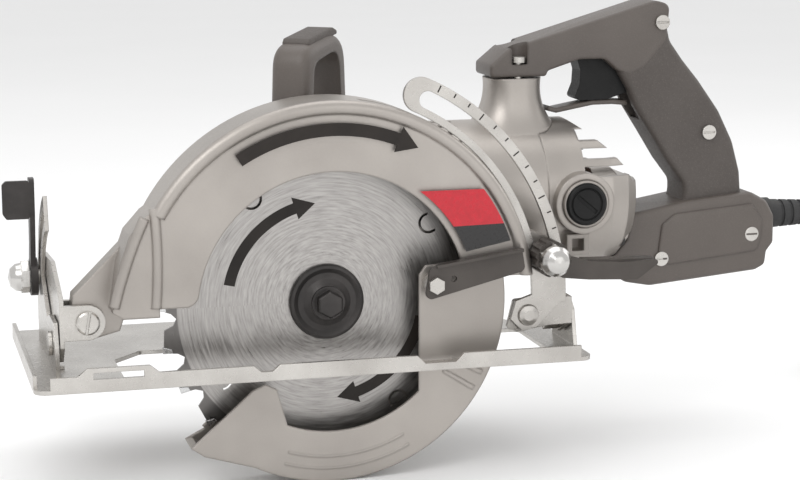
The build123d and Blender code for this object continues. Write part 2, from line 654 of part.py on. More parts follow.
# ------------------------------------------------------------------ upper guard
GUARD_LEFT, GUARD_RIGHT = 38.0, 46.0     # where its two ends stop
CHANNEL = (-69, -60.5)                   # groove in the rim that the depth arm swings into
CHANNEL_FLOOR = 101.5
with BuildPart() as upper_guard:
    with BuildSketch(ARBOR):
        with BuildLine():
            Polyline((GUARD_FACE, WINDOW_R), (GUARD_FACE, 103.4))
            ThreePointArc((GUARD_FACE, 103.4), (-76.8, 107.3), (-72.5, GUARD_R))
            Polyline((-72.5, GUARD_R), (GUARD_BACK, GUARD_R), (GUARD_BACK, HUB_R + 0.4),
                     (WEB, HUB_R + 0.4), (WEB, GUARD_BORE), (-68.5, GUARD_BORE),
                     (GUARD_INNER, 105.5), (GUARD_INNER, WINDOW_R), (GUARD_FACE, WINDOW_R))
        make_face()
    revolve(axis=Axis((0, 0, ARBOR_Z), (0, 1, 0)))
    # The nose in front, solid under its two ribs.
    add(plate([(-83, 98), (-99, 87), (-108, 77), (-113.5, 62), (-117.5, 37), (-112, 33.5),
               (-96, 33.5), (-90, 40), (-88, 66)], GUARD_FACE, WEB))
    add(tube(ARBOR, GUARD_INNER, WEB, 106.8), mode=Mode.SUBTRACT)
    add(sector(GUARD_INNER, CHANNEL[1] + 2, CHANNEL_FLOOR - 2.9, 110.0, 6, 84))
    add(sector(*CHANNEL, CHANNEL_FLOOR, 120, 0, 82), mode=Mode.SUBTRACT)
    # Both ends are cut level, the rear one higher, and the nose keeps its own foot.
    add(plate([(-93, -90), (150, -90), (150, GUARD_RIGHT), (0, GUARD_RIGHT), (0, GUARD_LEFT),
               (-93, GUARD_LEFT)], -90, -40), mode=Mode.SUBTRACT)
    add(plate([(-150, -90), (-90, -90), (-90, 33.5), (-150, 33.5)], -90, -40), mode=Mode.SUBTRACT)
    add(tube(ARBOR, GUARD_INNER, WEB, 92 + 4), mode=Mode.SUBTRACT)
    # Lugs for the depth pivot in front and the clamp bolt behind.
    add(plate([(-104, 76), (-136, 44), (-138.5, 26), (-126, 20.5), (-112, 24), (-108.5, 34)],
              -57, -44.5))
    add(plate([(104, 48), (121, 44.5), (129.5, 52), (127, 62), (118, 66), (100, 74)], -60, -50))
    add(tube(axle(PIVOT_X, PIVOT_Z), -60, -40, 4 + FIT), mode=Mode.SUBTRACT)
    add(tube(axle(CLAMP_X, CLAMP_Z), -64, -48, 4.05), mode=Mode.SUBTRACT)
    for corner, radius in (((-73, GUARD_FACE, GUARD_LEFT), 7), ((73, GUARD_FACE, GUARD_RIGHT), 4)):
        fillet(upper_guard.edges().filter_by(Axis.Y).sort_by_distance(corner)[0], radius=radius)
    # The rim's bead ends where the ribs take over.
    add(sector(-80, GUARD_FACE, 96, 116, 150, 192), mode=Mode.SUBTRACT)
    for rib in (((-95, 91), (-93.8, 66), (-95, 38.5)), ((-100, 86), (-110.5, 60), (-116.4, 40))):
        with BuildLine(side(GUARD_FACE + 0.6)) as path:
            ThreePointArc(*rib)
        with BuildSketch(Plane(origin=path.line @ 0, z_dir=path.line % 0)):
            Circle(2.8)
        sweep(path=path.line)
save(upper_guard, "upper_guard")

with BuildPart() as rating_label:
    add(sector(GUARD_FACE - 0.3, GUARD_FACE, 76.5, 102.4, 21, 47))
save(rating_label, "rating_label")

with BuildPart() as guard_retainer:
    add(tube(ARBOR, -49.9, -49.3, 25, 18.8))
save(guard_retainer, "guard_retainer")

with BuildPart() as guard_spring:
    add(sector(-47.4, WEB - 0.1, HUB_R + 1.2, HUB_R + 3.4, 12, 348))
save(guard_spring, "guard_spring")

with BuildPart() as spindle_lock_button:
    add(turned(axle(0, BUTTON_Z), [(22, 0), (22, 4.0), (35.6, 4.0), (35.6, 6.6), (39.4, 6.6),
                                   (40.4, 5.6), (40.4, 0)]))
save(spindle_lock_button, "spindle_lock_button")

# ------------------------------------------------------------------ lower guard
BEAK = [polar(106, -137), polar(104.5, -132.5), polar(LOWER_R, -117)]
LIFT_X, LIFT_Z = 54.0, 44.0


def near_face(front, back):
    """Face of the lower guard: a ring below the blade, a beak in front and an ear behind."""
    with BuildPart() as body:
        with BuildSketch(side(back)):
            with BuildLine():
                Polyline(BEAK[2], BEAK[1], BEAK[0], (-44, -10), (-37, -7), (-31, -10),
                         polar(68, -112))
                ThreePointArc(polar(68, -112), polar(68, -80), polar(68, -46))
                Polyline(polar(68, -46), (47.5, 48), (51, 53), (76, 54.5), polar(LOWER_R, 11))
                ThreePointArc(polar(LOWER_R, 11), polar(LOWER_R, -50), BEAK[2])
            make_face()
        extrude(amount=back - front)
    return body.part


with BuildPart() as lower_guard:
    add(near_face(LOWER_FACE, LOWER_FACE + 1.8))
    add(sector(LOWER_FACE, LOWER_BACK, LOWER_R - 2, LOWER_R, -118, 11))
    add(sector(LOWER_BACK - 1.6, LOWER_BACK, HUB_R + 2, LOWER_R - 1, -136, 11))
    add(tube(ARBOR, LOWER_BACK - 1.6, LOWER_BACK, 30, HUB_R + FIT))
    wall = [BEAK[0], BEAK[1], BEAK[2], polar(LOWER_R - 2.2, -117.5), polar(101.6, -132.6),
            polar(102.6, -136.2)]
    add(plate(wall, LOWER_FACE, LOWER_BACK))
    add(plate([BEAK[0], BEAK[1], BEAK[2], polar(LOWER_R - 6, -118), polar(LOWER_R - 6, -134)],
              LOWER_BACK - 1.6, LOWER_BACK))
    # A raised band along the bottom edge points in the direction of rotation.
    add(sector(LOWER_FACE - 0.6, LOWER_FACE, 81, 82.2, -108, -62))
    add(sector(LOWER_FACE - 0.6, LOWER_FACE, 87.5, 88.7, -108, -62))
    for start in (-33, -27):
        add(sector(LOWER_FACE - 0.8, LOWER_FACE, 72, 92, start, start + 1.6))
    add(tube(axle(LIFT_X, LIFT_Z), -72, -66, 2.5), mode=Mode.SUBTRACT)
save(lower_guard, "lower_guard")

LEVER = [(48, 35.5), (104, 49.5), (102, 62), (56, 55.5), (50.5, 52)]
with BuildPart() as guard_lift_lever:
    add(plate(LEVER, -79.9, -77.7, 3))
    add(plate([(54, 55.2), (102, 62), (102.2, 60.2), (54, 53.4)], -83.2, -79.9))
    add(tube(axle(LIFT_X, LIFT_Z), -82, -76, 2.5), mode=Mode.SUBTRACT)
    add(tube(axle(64, 47), -82, -76, 1.6), mode=Mode.SUBTRACT)
save(guard_lift_lever, "guard_lift_lever")

with BuildPart() as lift_lever_bolt:
    add(tube(axle(LIFT_X, LIFT_Z), -79.9, -68.4, 2.5))
    add(tube(axle(LIFT_X, LIFT_Z), -77.7, LOWER_FACE, 5.2))
    add(hexagon(axle(LIFT_X, LIFT_Z), -82.8, -79.9, 8))
save(lift_lever_bolt, "lift_lever_bolt")

# ------------------------------------------------------------------ depth clamp
with BuildPart() as depth_bolt:
    add(hexagon(axle(CLAMP_X, CLAMP_Z), -50, -46.2, 13))
    add(tube(axle(CLAMP_X, CLAMP_Z), -86, -50, 4))
    chamfer(depth_bolt.faces().sort_by(Axis.Y)[0].edges(), length=0.6)
save(depth_bolt, "depth_bolt")

with BuildPart() as depth_lever:
    with BuildSketch(side(-68.4)):
        with Locations((CLAMP_X, CLAMP_Z)):
            Circle(9.8)
            with PolarLocations(10.3, 12):
                Circle(1.5, mode=Mode.SUBTRACT)
    extrude(amount=13)
    add(plate([(127, 57), (140, 53), (160, 51.5), (179, 52.3), (180, 50), (168, 41.5), (140, 42.8),
               (124, 44.6), (122, 50)], -81.4, -78.8, 2))
    add(plate([(138, 53.4), (179, 52.3), (179, 50.6), (138, 51.6)], -78.8, -70))
    add(tube(axle(CLAMP_X, CLAMP_Z), -90, -60, 4.05), mode=Mode.SUBTRACT)
save(depth_lever, "depth_lever")

with BuildPart() as depth_dome_nut:
    add(hexagon(axle(CLAMP_X, CLAMP_Z), -85.6, -81.6, 15.6))
    add(turned(axle(CLAMP_X, CLAMP_Z), [(-85.6, 0), (-85.6, 8.6), (-88, 8.2), (-91, 6.2),
                                        (-92.8, 3.2), (-93.2, 0)]))
    add(tube(axle(CLAMP_X, CLAMP_Z), -87, -80, 4.0), mode=Mode.SUBTRACT)
save(depth_dome_nut, "depth_dome_nut")

SLOT_HALF = 4.7
with BuildPart() as depth_arm:
    add(sector(-67, -64.2, 112.2, 131.6, -2, 66))
    add(tube(axle(*polar(121.9, 66)), -67, -64.2, 9.7))
    add(plate([(112, 33), (131.4, 31), (124.6, 24.6), (115.5, 15), (107, 13), (100, 20), (103, 30)],
              -67, -64.2))
    add(sector(-68, -63, ARM_R - SLOT_HALF, ARM_R + SLOT_HALF, 9.2, 64), mode=Mode.SUBTRACT)
    for angle in (9.2, 64):
        add(tube(axle(*polar(ARM_R, angle)), -68, -63, SLOT_HALF), mode=Mode.SUBTRACT)
    add(tube(axle(LINK_X, LINK_Z), -68, -63, 4 + FIT), mode=Mode.SUBTRACT)
save(depth_arm, "depth_arm")

# ------------------------------------------------------------------ brackets between saw and foot
CROSS = -143.6            # front side of the plate across the saw
with BuildPart() as front_bracket:
    for near, far in ((-60.6, -57.6), (-44, -41.4)):
        add(plate([(CROSS, 39.3), (CROSS, 20.7), (PIVOT_X, 20.7), (PIVOT_X, 39.3)], near, far))
        add(tube(axle(PIVOT_X, PIVOT_Z), near, far, 9.3))
    add(panel([(-60.6, 17), (-60.6, 43), (-20, 56), (26, 53), (31, 40), (26, 31), (-24, 17),
               (-38, 8), (-52, 8)], CROSS, CROSS + 2.4))
    add(tube(axle(PIVOT_X, PIVOT_Z), -62, -40, 4.0), mode=Mode.SUBTRACT)
    add(tube(spindle(BOLT_Y, BOLT_Z), CROSS - 1, CROSS + 4, 4.0), mode=Mode.SUBTRACT)
    add(tube(spindle(BEVEL_Y, BEVEL_Z), CROSS - 1, CROSS + 4, 4.0), mode=Mode.SUBTRACT)
save(front_bracket, "front_bracket")

with BuildPart() as depth_pivot_screw:
    add(tube(axle(PIVOT_X, PIVOT_Z), -60.6, -39, 4.0))
    add(turned(axle(PIVOT_X, PIVOT_Z), [(-60.6, 0), (-60.6, 6.2), (-62.4, 6.2), (-63.2, 5.2),
                                        (-63.2, 0)]))
    with Locations((PIVOT_X, -63, PIVOT_Z)):
        Box(1.4, 1.6, 14, rotation=(0, 10, 0), mode=Mode.SUBTRACT)
    add(hexagon(axle(PIVOT_X, PIVOT_Z), -41.4, -37, 11))
save(depth_pivot_screw, "depth_pivot_screw")

with BuildPart() as rear_bracket:
    add(plate([(99, 14), (106, 12), (124, 14.5), (136.8, 15), (136.8, 30), (118, 31), (103, 30)],
              -62.4, -60, 2))
    add(panel([(-62.4, 15), (-62.4, 30), (-48, 30), (-30, 24), (-26, 14), (-45, 7)], 134.4, 136.8))
    add(tube(axle(LINK_X, LINK_Z), -64, -58, 4.0), mode=Mode.SUBTRACT)
    add(tube(spindle(BEVEL_Y, BEVEL_Z), 132, 138, 4.0), mode=Mode.SUBTRACT)
save(rear_bracket, "rear_bracket")

with BuildPart() as bevel_bolt:
    add(hexagon(spindle(BOLT_Y, BOLT_Z), -141.2, -137.4, 13))
    add(tube(spindle(BOLT_Y, BOLT_Z), -159, -141.2, 4.0))
save(bevel_bolt, "bevel_bolt")

with BuildPart() as bevel_lever:
    add(tube(spindle(BOLT_Y, BOLT_Z), -151.4, -147.4, 10.5))
    add(panel([(BOLT_Y - 7, 44), (BOLT_Y - 10, 60), (BOLT_Y - 13, 78), (BOLT_Y - 13, 97),
               (BOLT_Y - 4, 97), (BOLT_Y - 2, 78), (BOLT_Y, 60), (BOLT_Y + 6, 46)],
              -151.4, -148.6, 2))
    add(plate([(-151.4, 96), (-151.4, 75), (-164, 75), (-166, 78), (-166, 94), (-164, 96)],
              BOLT_Y - 13, BOLT_Y - 10.4, 1.5))
    add(tube(spindle(BOLT_Y, BOLT_Z), -154, -144, 4.05), mode=Mode.SUBTRACT)
save(bevel_lever, "bevel_lever")

with BuildPart() as bevel_dome_nut:
    add(hexagon(spindle(BOLT_Y, BOLT_Z), -156.4, -151.6, 15.6))
    add(turned(spindle(BOLT_Y, BOLT_Z), [(-156.4, 0), (-156.4, 8.0), (-159.5, 7.4), (-162.4, 5),
                                         (-163.6, 0)]))
    add(tube(spindle(BOLT_Y, BOLT_Z), -159.2, -151, 4.05), mode=Mode.SUBTRACT)
save(bevel_dome_nut, "bevel_dome_nut")

# ------------------------------------------------------------------ foot
OPENING = [(-112, -76), (-112, -30), (-96, -12), (122, -12), (122, -76)]
with BuildPart() as foot:
    with BuildSketch(Plane.XY):
        with BuildLine():
            FilletPolyline((FOOT_FRONT, FOOT_NEAR), (FOOT_REAR, FOOT_NEAR), (FOOT_REAR, -20),
                           (96, FOOT_FAR), (FOOT_FRONT, FOOT_FAR), radius=7, close=True)
        make_face()
        with BuildLine():
            FilletPolyline(*OPENING, radius=3, close=True)
        make_face(mode=Mode.SUBTRACT)
    extrude(amount=SHEET)
    # Near rail with its sight notches and the raised guide for the rip fence.
    rail = [(-152, 0), (-152, RAIL), (-138, RAIL), (-133, 12.5), (-101, 12.5), (-96, RAIL),
            (-47, RAIL), (-43, 5), (-37, 5), (-33, RAIL), (41, RAIL), (45.5, 4), (62.5, 4), (67, RAIL),
            (133, RAIL), (133, 0)]
    add(plate(rail, FOOT_NEAR, FOOT_NEAR + SHEET))
    with Locations((-117, FOOT_NEAR, 8.4)):
        Box(26, 8, 3.4, mode=Mode.SUBTRACT)
    # Front lip, and the ear that carries the rear bevel pin.
    add(panel([(FOOT_NEAR + 8, 0), (FOOT_FAR - 8, 0), (FOOT_FAR - 8, RAIL), (FOOT_NEAR + 8, RAIL)],
              FOOT_FRONT, FOOT_FRONT + SHEET))
    add(panel([(-64, 0), (-26, 0), (-32, 22), (-38, 27), (-52, 27), (-58, 22)],
              FOOT_REAR - SHEET, FOOT_REAR))
    add(tube(spindle(BEVEL_Y, BEVEL_Z), 136, 142, 4 + FIT), mode=Mode.SUBTRACT)
save(foot, "foot")

with BuildPart() as bevel_quadrant:
    with BuildSketch(across(-146.4)):
        with BuildLine():
            middle = (BEVEL_START + BEVEL_END) / 2
            outer = [(BEVEL_Y + (BEVEL_R + 10) * cos(radians(a)),
                      BEVEL_Z + (BEVEL_R + 10) * sin(radians(a))) for a in (6, 38, 70)]
            inner = [(BEVEL_Y + (BEVEL_R - 9) * cos(radians(a)),
                      BEVEL_Z + (BEVEL_R - 9) * sin(radians(a))) for a in (70, 48, 26)]
            ThreePointArc(*outer)
            Line(outer[2], inner[0])
            ThreePointArc(*inner)
            Polyline(inner[2], (-20, 26), (-34, 30), (-56, 30), (-62, 18), (-62, SHEET),
                     (outer[0][0], SHEET), outer[0])
        make_face()
        with BuildLine():
            near_edge = [(BEVEL_Y + (BEVEL_R - 4.5) * cos(radians(a)),
                          BEVEL_Z + (BEVEL_R - 4.5) * sin(radians(a))) for a in (20, 43, 66)]
            far_edge = [(BEVEL_Y + (BEVEL_R + 4.5) * cos(radians(a)),
                         BEVEL_Z + (BEVEL_R + 4.5) * sin(radians(a))) for a in (66, 43, 20)]
            ThreePointArc(*near_edge)
            Line(near_edge[2], far_edge[0])
            ThreePointArc(*far_edge)
            Line(far_edge[2], near_edge[0])
        make_face(mode=Mode.SUBTRACT)
        for a in (20, 66):
            with Locations((BEVEL_Y + BEVEL_R * cos(radians(a)), BEVEL_Z + BEVEL_R * sin(radians(a)))):
                Circle(4.5, mode=Mode.SUBTRACT)
        with Locations((BEVEL_Y, BEVEL_Z)):
            Circle(4.0 + FIT, mode=Mode.SUBTRACT)
    extrude(amount=SHEET)
    with Locations((-142.2, -15, SHEET + 1)):
        Box(4, 60, 2)
save(bevel_quadrant, "bevel_quadrant")

with BuildPart() as bracket_pins:
    add(tube(axle(LINK_X, LINK_Z), -67.2, -60, 4.0))
    add(turned(axle(LINK_X, LINK_Z), [(-67.2, 0), (-67.2, 6), (-68.6, 5.4), (-69.4, 3), (-69.4, 0)]))
    add(tube(axle(LINK_X, LINK_Z), -60, -58.6, 5.4))
    add(tube(spindle(BEVEL_Y, BEVEL_Z), -146.6, -141.2, 4.0))
    add(tube(spindle(BEVEL_Y, BEVEL_Z), -148.6, -146.6, 6.5))
    add(tube(spindle(BEVEL_Y, BEVEL_Z), 134.4, 140.2, 4.0))
    add(tube(spindle(BEVEL_Y, BEVEL_Z), 140.2, 142.0, 6.5))
    add(hexagon(spindle(BEVEL_Y, BEVEL_Z), 126, 134.4, 15))
save(bracket_pins, "bracket_pins")

# ------------------------------------------------------------------ lead, coil and plug
RELIEF_END = 322.0
with BuildPart() as strain_relief:
    add(turned(spindle(0, 60), [(264.2, 0), (264.2, 9.2), (267.6, 9.2), (267.6, 7.35), (277, 7.35),
                                (277, 9.6), (281, 9.6), (281, 8.6), (RELIEF_END, 6.4),
                                (RELIEF_END, 0)]))
    for reach, deep in ((287, 1.1), (293, 1.1), (299, 1.0), (305, 0.9), (311, 0.8)):
        outer = 8.6 - (reach - 281) * 2.2 / 41
        add(tube(spindle(0, 60), reach, reach + 2.2, outer + 1, outer - deep), mode=Mode.SUBTRACT)
save(strain_relief, "strain_relief")

LAY = 0.2                 # slack between two layers of the coil
LOW_LAYER = GROUND + CORD_D / 2 + LAY
ROUTE = [(RELIEF_END, 0, 60), (360, 0, 60), (393, -16, 53), (417, -42, 39.5), (440, -58, 14),
         (464, -58, -15.5), (484, -40, -41.5), (495.5, -8, LOW_LAYER), (495.5, 30, LOW_LAYER)]
BEND_SHARE = 0.45         # of the shorter of two runs that their bend may take


def bend_radii(route):
    """The largest arc that fits at each inner point of a route."""
    radii = []
    for before, here, after in zip(route, route[1:], route[2:]):
        arriving = Vector(*here) - Vector(*before)
        leaving = Vector(*after) - Vector(*here)
        half_turn = radians(arriving.get_angle(leaving)) / 2
        radii.append(BEND_SHARE * min(arriving.length, leaving.length) / tan(half_turn))
    return radii


LEAD_RADII = bend_radii(ROUTE)
print("cord arc radii", [round(radius, 1) for radius in LEAD_RADII], "cord diameter", CORD_D)
with BuildPart() as power_cord:
    with BuildLine() as lead:
        FilletPolyline(*ROUTE, radius=LEAD_RADII)
    with BuildSketch(Plane(origin=lead.line @ 0, z_dir=lead.line % 0)):
        Circle(CORD_D / 2)
    sweep()
save(power_cord, "power_cord")

COIL_END = ROUTE[-1][1]
LAID_R = ROUTE[-1][0] - COIL_X       # radius of the outermost turn
HIGH_LAYER = GROUND + COIL_H - CORD_D / 2 - LAY
TAIL_X = COIL_X - LAID_R
TAIL_END = COIL_END - 8
with BuildPart() as cord_coil:
    with Locations((COIL_X, COIL_Y, GROUND + COIL_H / 2)):
        Cylinder(COIL_OUT, COIL_H)
        Cylinder(COIL_IN, COIL_H, mode=Mode.SUBTRACT)
    for x, z, end in ((ROUTE[-1][0], LOW_LAYER, COIL_END), (TAIL_X, HIGH_LAYER, TAIL_END)):
        with BuildSketch(side(COIL_Y)):
            with Locations((x, z)):
                Circle(CORD_D / 2)
        extrude(amount=COIL_Y - end)
save(cord_coil, "cord_coil")

PLUG_FRONT = TAIL_END - 46.0
with BuildPart() as power_plug:
    with BuildSketch(side(TAIL_END)):
        with Locations((TAIL_X, HIGH_LAYER)):
            Circle(6.5)
    with BuildSketch(side(TAIL_END - 14)):
        with Locations((TAIL_X, HIGH_LAYER)):
            Circle(9.0)
    loft()
    with BuildSketch(side(TAIL_END - 14)):
        with Locations((TAIL_X, HIGH_LAYER)):
            RectangleRounded(28, 25, 9)
    extrude(amount=TAIL_END - 14 - PLUG_FRONT)
    for x, z in ((-6.35, 3), (6.35, 3)):
        with Locations((TAIL_X + x, PLUG_FRONT - 8, HIGH_LAYER + z)):
            Box(1.5, 16, 6.3)
    with BuildSketch(side(PLUG_FRONT)):
        with Locations((TAIL_X, HIGH_LAYER - 8)):
            Circle(2.4)
    extrude(amount=19)
save(power_plug, "power_plug")
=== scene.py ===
import math

import bmesh
import bpy
from mathutils import Matrix, Vector


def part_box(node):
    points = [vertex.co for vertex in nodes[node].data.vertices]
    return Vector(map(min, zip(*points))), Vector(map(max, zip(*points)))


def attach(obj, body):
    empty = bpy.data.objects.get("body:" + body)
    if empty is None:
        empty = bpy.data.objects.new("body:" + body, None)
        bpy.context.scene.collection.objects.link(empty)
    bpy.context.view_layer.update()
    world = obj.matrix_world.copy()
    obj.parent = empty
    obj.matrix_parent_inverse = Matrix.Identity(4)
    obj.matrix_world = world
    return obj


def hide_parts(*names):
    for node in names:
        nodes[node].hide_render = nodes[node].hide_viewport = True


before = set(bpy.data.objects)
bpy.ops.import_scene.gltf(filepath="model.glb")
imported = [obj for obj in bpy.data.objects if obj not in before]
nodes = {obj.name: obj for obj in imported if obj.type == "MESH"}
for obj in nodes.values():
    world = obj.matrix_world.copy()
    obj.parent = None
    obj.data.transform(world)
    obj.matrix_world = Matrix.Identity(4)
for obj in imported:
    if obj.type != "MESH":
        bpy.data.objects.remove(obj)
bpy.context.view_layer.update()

MM = 0.001
ARBOR_Z = 33.0
MOTOR_Z = 79.0


def mm(*point):
    """A point given in millimetres."""
    return Vector(point) * MM


def polar(radius, angle, x=0.0, z=ARBOR_Z):
    """A point about an axis along Y, in millimetres."""
    return (x + radius * math.cos(math.radians(angle)), z + radius * math.sin(math.radians(angle)))


# ---------------------------------------------------------------- camera, floor and light
camera = bpy.data.objects.new("camera", bpy.data.cameras.new("camera"))
bpy.context.scene.collection.objects.link(camera)
camera.data.sensor_width = 36.0
camera.data.lens = 94.2
camera.data.clip_start = 0.05
camera.location = mm(-244.2, -1132.1, 264.6)
aim = mm(41.53, -52.0, 64.30) - camera.location
camera.rotation_euler = (aim.to_track_quat("-Z", "Y").to_matrix()
                         @ Matrix.Rotation(math.radians(-0.13), 3, "Z")).to_euler()
bpy.context.scene.camera = camera

FLOOR_Z = -62.6 * MM
mesh = bpy.data.meshes.new("floor")
mesh.from_pydata([(-9, -9, FLOOR_Z), (9, -9, FLOOR_Z), (9, 9, FLOOR_Z), (-9, 9, FLOOR_Z)], [],
                 [(0, 1, 2, 3)])
floor = bpy.data.objects.new("floor", mesh)
bpy.context.scene.collection.objects.link(floor)


def area(name, place, aim_at, size, power, colour=(1, 1, 1)):
    lamp = bpy.data.lights.new(name, "AREA")
    lamp.shape = "RECTANGLE"
    lamp.size, lamp.size_y = size
    lamp.energy = power
    lamp.color = colour
    thing = bpy.data.objects.new(name, lamp)
    thing.location = place
    thing.rotation_euler = (Vector(aim_at) - Vector(place)).to_track_quat("-Z", "Y").to_euler()
    bpy.context.scene.collection.objects.link(thing)
    return thing


area("key", (-0.9, -1.0, 1.3), (0, 0, 0.05), (1.2, 0.9), 11)
area("front", (0.5, -1.7, 0.5), (0.05, 0, 0.05), (1.6, 1.0), 4)
area("top", (0.1, 0.3, 1.6), (0.05, 0, 0), (1.6, 1.2), 8)
area("side", (1.5, 0.2, 0.7), (0.1, 0, 0.05), (0.9, 0.9), 4)
world = bpy.data.worlds.new("studio")
world.use_nodes = True
world.node_tree.nodes["Background"].inputs["Color"].default_value = (1, 1, 1, 1)
world.node_tree.nodes["Background"].inputs["Strength"].default_value = 0.9
bpy.context.scene.world = world
bpy.context.scene.view_settings.view_transform = "Standard"


# ---------------------------------------------------------------- materials
def material(name, colour, metallic=0.0, roughness=0.5, **sockets):
    """A Principled material with its tree, ready for more nodes."""
    made = bpy.data.materials.new(name)
    made.use_nodes = True
    tree = made.node_tree
    shader = tree.nodes["Principled BSDF"]
    shader.inputs["Base Color"].default_value = (*colour, 1)
    shader.inputs["Metallic"].default_value = metallic
    shader.inputs["Roughness"].default_value = roughness
    for key, value in sockets.items():
        shader.inputs[key.replace("_", " ")].default_value = value
    return made, tree, shader


def node(tree, kind, **values):
    made = tree.nodes.new(kind)
    for key, value in values.items():
        if hasattr(made, key):
            setattr(made, key, value)
        else:
            made.inputs[key.replace("_", " ")].default_value = value
    return made


def coords(tree, scale=(1, 1, 1), place=(0, 0, 0)):
    """Object coordinates, scaled, about a place."""
    source = node(tree, "ShaderNodeTexCoord")
    step = node(tree, "ShaderNodeMapping")
    step.inputs["Location"].default_value = [-p * s for p, s in zip(place, scale)]
    step.inputs["Scale"].default_value = scale
    tree.links.new(source.outputs["Object"], step.inputs["Vector"])
    return step.outputs["Vector"]


def noise(tree, vector, scale, detail=3.0, rough=0.55):
    made = node(tree, "ShaderNodeTexNoise", Scale=scale, Detail=detail, Roughness=rough)
    tree.links.new(vector, made.inputs["Vector"])
    return made.outputs["Fac"]


def spread(tree, value, low, high, start=0.35, end=0.65):
    """A noise value between two numbers."""
    made = node(tree, "ShaderNodeMapRange")
    made.inputs["From Min"].default_value = start
    made.inputs["From Max"].default_value = end
    made.inputs["To Min"].default_value = low
    made.inputs["To Max"].default_value = high
    tree.links.new(value, made.inputs["Value"])
    return made.outputs["Result"]


def mix(tree, factor, first, second):
    """Two colours, or a link and a colour, mixed by a link."""
    made = node(tree, "ShaderNodeMix", data_type="RGBA")
    tree.links.new(factor, made.inputs["Factor"])
    for socket, value in ((made.inputs[6], first), (made.inputs[7], second)):
        if hasattr(value, "is_output"):
            tree.links.new(value, socket)
        else:
            socket.default_value = (*value, 1)
    return made.outputs[2]


def bump(tree, shader, value, strength, distance=0.0004, edge=0.0):
    """Grain from a value, on edges that read as rounded over this radius in metres."""
    made = node(tree, "ShaderNodeBump", Strength=strength, Distance=distance)
    tree.links.new(value, made.inputs["Height"])
    if edge:
        rounded = node(tree, "ShaderNodeBevel", samples=4, Radius=edge)
        tree.links.new(rounded.outputs["Normal"], made.inputs["Normal"])
    tree.links.new(made.outputs["Normal"], shader.inputs["Normal"])


def grained(name, colour, darker, metallic, rough, fine, coarse, depth, edge=0.0006, **sockets):
    """A surface with broad tone changes, a fine grain and uneven gloss."""
    made, tree, shader = material(name, colour, metallic, rough[0], **sockets)
    where = coords(tree)
    broad = noise(tree, where, coarse)
    grain = noise(tree, where, fine, 4.0)
    tree.links.new(mix(tree, spread(tree, broad, 0, 1), colour, darker), shader.inputs["Base Color"])
    tree.links.new(spread(tree, grain, rough[0], rough[1], 0.3, 0.7), shader.inputs["Roughness"])
    bump(tree, shader, grain, depth, edge=edge)
    return made


cast = grained("cast_metal", (0.41, 0.38, 0.352), (0.34, 0.314, 0.29), 0.8, (0.34, 0.46), 900, 14, 0.10,
               edge=0.0016)
zinc = grained("zinc_steel", (0.56, 0.54, 0.51), (0.43, 0.41, 0.385), 0.9, (0.24, 0.38), 500, 22, 0.05)
bright = grained("ground_steel", (0.66, 0.66, 0.66), (0.56, 0.56, 0.56), 1.0, (0.2, 0.32), 800, 30, 0.05)
chrome = grained("chrome", (0.60, 0.585, 0.57), (0.52, 0.51, 0.49), 1.0, (0.16, 0.24), 600, 20, 0.02,
                 edge=0.0012)
black_steel = grained("black_oxide", (0.030, 0.028, 0.027), (0.055, 0.05, 0.048), 0.6, (0.34, 0.5), 700,
                      40, 0.1)
dark_steel = grained("dark_painted", (0.050, 0.043, 0.038), (0.075, 0.065, 0.058), 0.35, (0.34, 0.5),
                     600, 25, 0.1)
black_plastic = grained("black_plastic", (0.004, 0.004, 0.004), (0.009, 0.009, 0.009), 0.0, (0.42, 0.58), 900,
                        30, 0.12, Specular_IOR_Level=0.25)
rubber = grained("rubber", (0.02, 0.02, 0.021), (0.032, 0.031, 0.03), 0.0, (0.55, 0.72), 1200, 40, 0.15)
lamination = grained("lamination", (0.20, 0.20, 0.21), (0.14, 0.14, 0.14), 0.8, (0.4, 0.55), 500, 40, 0.1)
bronze = grained("bronze", (0.55, 0.36, 0.16), (0.45, 0.29, 0.12), 1.0, (0.28, 0.42), 500, 30, 0.08)
carbon = grained("carbon", (0.03, 0.03, 0.03), (0.05, 0.05, 0.05), 0.1, (0.5, 0.7), 900, 60, 0.2)


def wound_copper():
    made, tree, shader = material("copper_winding", (0.55, 0.22, 0.08), 0.8, 0.35)
    where = coords(tree)
    wires = node(tree, "ShaderNodeTexWave", Scale=420, Distortion=1.5)
    wires.inputs["Detail"].default_value = 1.0
    tree.links.new(where, wires.inputs["Vector"])
    tree.links.new(mix(tree, wires.outputs["Fac"], (0.20, 0.07, 0.03), (0.62, 0.27, 0.10)),
                   shader.inputs["Base Color"])
    bump(tree, shader, wires.outputs["Fac"], 0.6, 0.0006)
    return made


def speckled(name, colour, darker, dots, depth, rough, edge=0.0025):
    """Moulded plastic with the fine speckle of its filler."""
    made, tree, shader = material(name, colour, 0.0, rough)
    where = coords(tree)
    cells = node(tree, "ShaderNodeTexVoronoi", Scale=dots)
    tree.links.new(where, cells.inputs["Vector"])
    grain = noise(tree, where, dots * 0.8, 3.0)
    broad = noise(tree, where, 18)
    base = mix(tree, spread(tree, broad, 0, 1), colour, darker)
    light = tuple(min(1.0, c * 1.55) for c in colour)
    tree.links.new(mix(tree, spread(tree, cells.outputs["Distance"], 0.5, 0.0, 0.1, 0.35), base, light),
                   shader.inputs["Base Color"])
    tree.links.new(spread(tree, grain, rough - 0.06, rough + 0.1, 0.3, 0.7), shader.inputs["Roughness"])
    bump(tree, shader, grain, depth, edge=edge)
    return made


